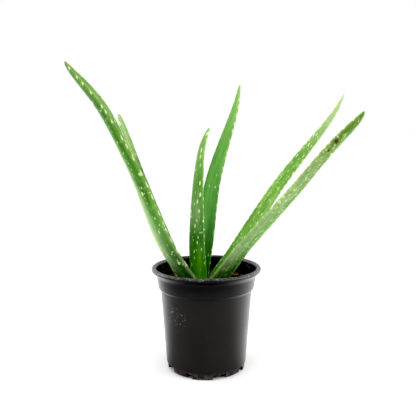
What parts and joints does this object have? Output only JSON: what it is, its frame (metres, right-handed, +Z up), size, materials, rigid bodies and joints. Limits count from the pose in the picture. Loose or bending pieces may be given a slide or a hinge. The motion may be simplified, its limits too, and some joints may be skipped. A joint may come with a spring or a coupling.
{
  "type": "potted aloe plant",
  "caption": "Young aloe with long spotted tapering leaves, toothed along both edges, growing out of dark soil in a round black plastic nursery pot.",
  "frame": {"origin": "on the pot's axis, on the flat underside that the pot stands on", "axes": "+Z is up along the pot's axis; +X is to the right and -Y is toward the viewer, as in the picture"},
  "size_m": [0.2905, 0.114, 0.317],
  "materials": {
    "pot_plastic": "satin",
    "soil": "matte",
    "stem": "matte",
    "bark": "matte",
    "leaf_front": "satin",
    "leaf_rear": "satin",
    "leaf_young": "satin"
  },
  "bodies": {
    "root": {"pot": "pot_plastic", "soil": "soil", "stem": "stem", "bark_chip": "bark", "leaf_left_long": "leaf_front", "leaf_left_rear": "leaf_rear", "leaf_centre_short": "leaf_young", "leaf_centre_tall": "leaf_young", "leaf_right_rear": "leaf_rear", "leaf_right_front": "leaf_front"}
  },
  "joints": []
}
